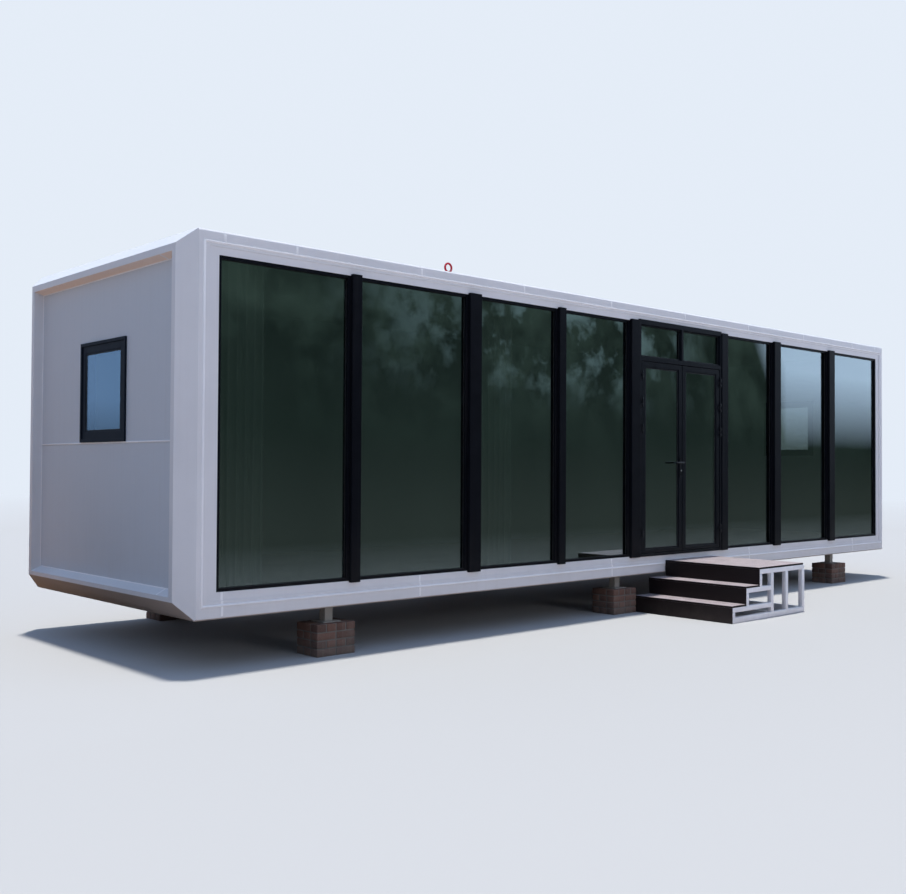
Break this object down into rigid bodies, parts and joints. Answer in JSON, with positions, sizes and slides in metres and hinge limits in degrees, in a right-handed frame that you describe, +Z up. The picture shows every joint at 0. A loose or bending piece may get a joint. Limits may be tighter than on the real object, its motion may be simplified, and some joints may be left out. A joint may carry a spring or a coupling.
{
  "type": "shipping container cabin",
  "caption": "Long white prefabricated cabin with tapered end caps, a fully glazed front with an opening double door, end windows and a short side-on stair.",
  "frame": {"origin": "centre of the footprint of cabin and stair together, on the ground", "axes": "+X along the glazed front from its left to its right, +Y from the front into the cabin, +Z up"},
  "size_m": [11.5, 4.215, 3.4819],
  "materials": {
    "white_steel": "semi-gloss white coated sheet",
    "wall_panel": "satin off-white sandwich panel",
    "black_aluminium": "satin anthracite powder coat",
    "front_glass": "reflective grey-green tint",
    "window_glass": "clear, strongly reflecting",
    "hardware": "satin black",
    "red_steel": "gloss red",
    "leg_steel": "dull pale grey",
    "dark_steel": "matt primer",
    "brick": "rough fired clay",
    "stair_steel": "gloss white paint",
    "composite_boards": "matt dark brown wood composite",
    "floor_boards": "satin laminate",
    "sheer_curtain": "thin woven voile"
  },
  "bodies": {
    "cabin": {"base_frame": "dark_steel", "floor_deck": "floor_boards", "roof": "white_steel", "back_wall": "white_steel", "left_end_wall": "wall_panel", "right_end_wall": "wall_panel", "left_end_cap": "white_steel", "right_end_cap": "white_steel", "front_head": "white_steel", "front_sill": "white_steel", "front_left_jamb": "white_steel", "front_right_jamb": "white_steel", "left_mullions": "black_aluminium", "right_mullions": "black_aluminium", "glazing_channels": "black_aluminium", "left_glass": "front_glass", "right_glass": "front_glass", "door_frame": "black_aluminium", "frame_hinges": "hardware", "transom_glass": "front_glass", "left_window_frame": "black_aluminium", "left_window_glass": "window_glass", "right_window_frame": "black_aluminium", "right_window_glass": "window_glass", "lifting_eyes": "red_steel", "legs": "leg_steel", "brick_piers": "brick", "stair_front_side": "stair_steel", "stair_back_side": "stair_steel", "stair_cross_tubes": "stair_steel", "risers": "composite_boards", "lower_tread": "composite_boards", "upper_tread": "composite_boards", "platform_deck": "composite_boards", "curtain_track": "wall_panel", "left_curtain": "sheer_curtain", "middle_curtain": "sheer_curtain"},
    "left_door": {"left_leaf": "black_aluminium", "left_leaf_glass": "front_glass", "left_leaf_hinges": "hardware", "door_handle": "hardware"},
    "right_door": {"right_leaf": "black_aluminium", "right_leaf_glass": "front_glass", "right_leaf_hinges": "hardware"}
  },
  "joints": [
    {"name": "left_door_hinge", "type": "hinge", "parent": "cabin", "child": "left_door", "pos_m": [-0.173, -0.937, 1.6], "axis": [0, 0, -1], "range_deg": [0, 100]},
    {"name": "right_door_hinge", "type": "hinge", "parent": "cabin", "child": "right_door", "pos_m": [1.344, -0.937, 1.6], "axis": [0, 0, 1], "range_deg": [0, 100]}
  ]
}
